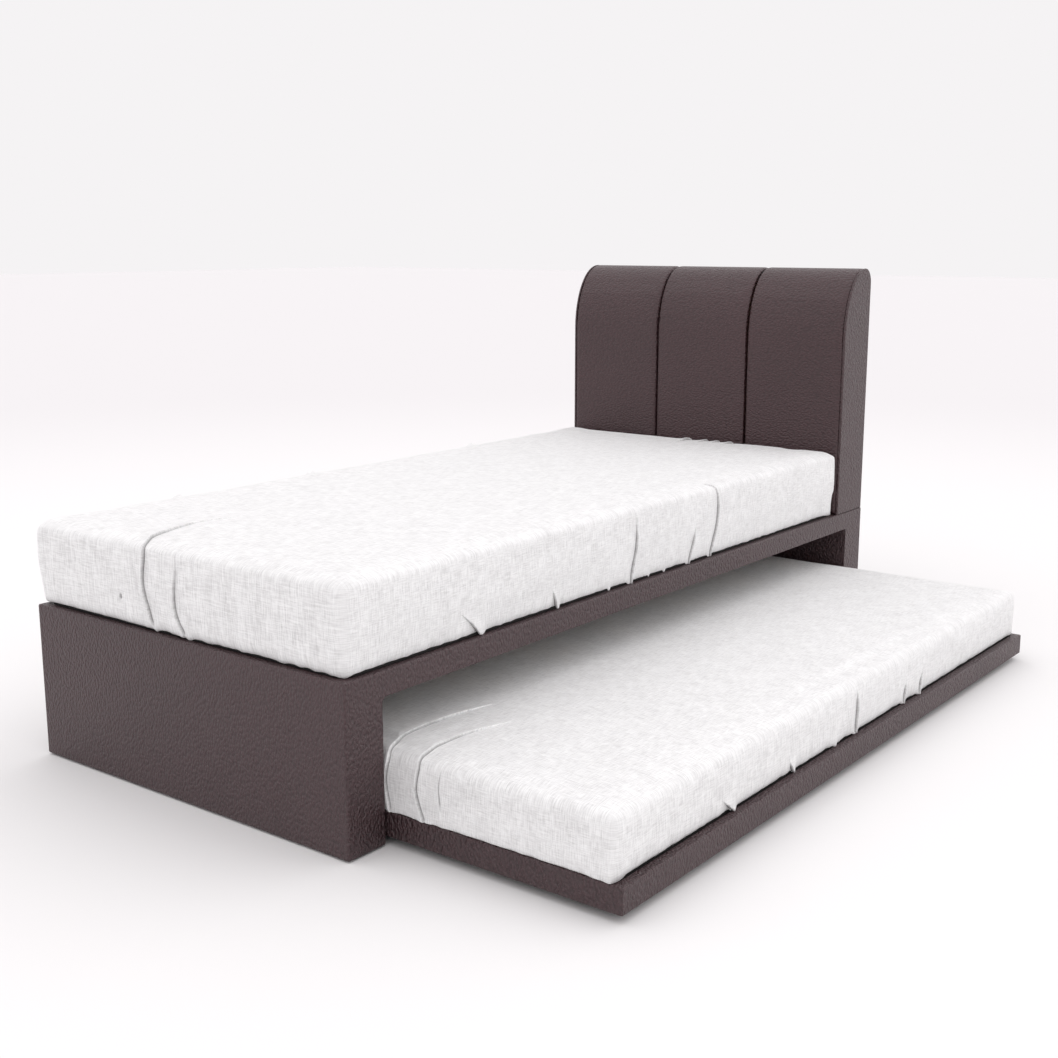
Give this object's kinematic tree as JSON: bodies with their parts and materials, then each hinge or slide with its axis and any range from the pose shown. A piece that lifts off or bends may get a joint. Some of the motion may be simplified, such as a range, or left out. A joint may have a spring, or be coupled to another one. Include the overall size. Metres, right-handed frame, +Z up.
{
  "type": "trundle bed",
  "caption": "Upholstered single bed with a curved padded headboard and a low second bed on hidden casters that rolls out from under its open long side.",
  "frame": {"origin": "on the floor, under the middle of the whole bed as it stands with the trundle part way out", "axes": "+X towards the side the trundle comes out of, +Y from the foot end to the headboard, +Z up"},
  "size_m": [1.477, 2.172, 1.049],
  "materials": {
    "leather_cover": "dark brown pebbled faux leather, satin",
    "back_cloth": "black non-woven cloth stapled over board",
    "pine": "planed, unfinished",
    "plywood": "sawn, unfinished",
    "zinc_plated_steel": "pressed and zinc plated",
    "glide_nylon": "moulded black nylon",
    "wheel_rubber": "moulded grey, matte",
    "mattress_fabric": "white linen-look woven cover"
  },
  "bodies": {
    "upper_bed": {"foot_panel": "leather_cover", "head_panel": "leather_cover", "side_rail": "leather_cover", "wall_side_panel": "leather_cover", "headboard_cheek_wall": "leather_cover", "headboard_cheek_open": "leather_cover", "headboard_pad_wall": "leather_cover", "headboard_pad_middle": "leather_cover", "headboard_pad_open": "leather_cover", "deck_board_foot": "back_cloth", "deck_board_head": "back_cloth", "headboard_back_board": "back_cloth", "batten_1": "pine", "batten_2": "pine", "batten_3": "pine", "batten_4": "pine", "batten_5": "pine", "batten_6": "pine", "batten_7": "pine", "headboard_rib_1": "plywood", "headboard_rib_2": "plywood", "headboard_rib_3": "plywood", "headboard_rib_4": "plywood", "ledger_wall_side": "zinc_plated_steel", "ledger_open_side": "zinc_plated_steel", "corner_bracket_wall_foot": "zinc_plated_steel", "corner_bracket_wall_head": "zinc_plated_steel", "corner_bracket_open_foot": "zinc_plated_steel", "corner_bracket_open_head": "zinc_plated_steel", "headboard_bracket_wall": "zinc_plated_steel", "headboard_bracket_open": "zinc_plated_steel", "floor_glide_wall_foot": "glide_nylon", "floor_glide_wall_head": "glide_nylon", "floor_glide_open_foot": "glide_nylon", "floor_glide_open_head": "glide_nylon", "upper_mattress": "mattress_fabric"},
    "trundle": {"trundle_inner_rail": "leather_cover", "trundle_outer_rail": "leather_cover", "trundle_foot_rail": "leather_cover", "trundle_head_rail": "leather_cover", "trundle_deck_foot": "back_cloth", "trundle_deck_head": "back_cloth", "trundle_bearer_foot": "plywood", "trundle_bearer_middle": "plywood", "trundle_bearer_head": "plywood", "trundle_mattress": "mattress_fabric", "caster_bracket_inner_foot": "zinc_plated_steel", "caster_bracket_inner_head": "zinc_plated_steel", "caster_bracket_outer_foot": "zinc_plated_steel", "caster_bracket_outer_head": "zinc_plated_steel", "caster_axle_inner_foot": "zinc_plated_steel", "caster_axle_inner_head": "zinc_plated_steel", "caster_axle_outer_foot": "zinc_plated_steel", "caster_axle_outer_head": "zinc_plated_steel"},
    "wheel_inner_foot": {"caster_wheel_inner_foot": "wheel_rubber"},
    "wheel_inner_head": {"caster_wheel_inner_head": "wheel_rubber"},
    "wheel_outer_foot": {"caster_wheel_outer_foot": "wheel_rubber"},
    "wheel_outer_head": {"caster_wheel_outer_head": "wheel_rubber"}
  },
  "joints": [
    {"name": "trundle_slide", "type": "slide", "parent": "upper_bed", "child": "trundle", "axis": [1, 0, 0], "range_m": [-0.535, 0.37]},
    {"name": "wheel_inner_foot_spin", "type": "hinge", "parent": "trundle", "child": "wheel_inner_foot", "pos_m": [-0.0515, -0.8, 0.018], "axis": [0, 1, 0], "range_deg": [-1710, 1185]},
    {"name": "wheel_inner_head_spin", "type": "hinge", "parent": "trundle", "child": "wheel_inner_head", "pos_m": [-0.0515, 0.796, 0.018], "axis": [0, 1, 0], "range_deg": [-1710, 1185]},
    {"name": "wheel_outer_foot_spin", "type": "hinge", "parent": "trundle", "child": "wheel_outer_foot", "pos_m": [0.6435, -0.8, 0.018], "axis": [0, 1, 0], "range_deg": [-1710, 1185]},
    {"name": "wheel_outer_head_spin", "type": "hinge", "parent": "trundle", "child": "wheel_outer_head", "pos_m": [0.6435, 0.796, 0.018], "axis": [0, 1, 0], "range_deg": [-1710, 1185]}
  ],
  "couplings": [
    {"joint": "wheel_inner_foot_spin", "follows": "trundle_slide", "rad_per_m": 55.556},
    {"joint": "wheel_inner_head_spin", "follows": "trundle_slide", "rad_per_m": 55.556},
    {"joint": "wheel_outer_foot_spin", "follows": "trundle_slide", "rad_per_m": 55.556},
    {"joint": "wheel_outer_head_spin", "follows": "trundle_slide", "rad_per_m": 55.556}
  ]
}
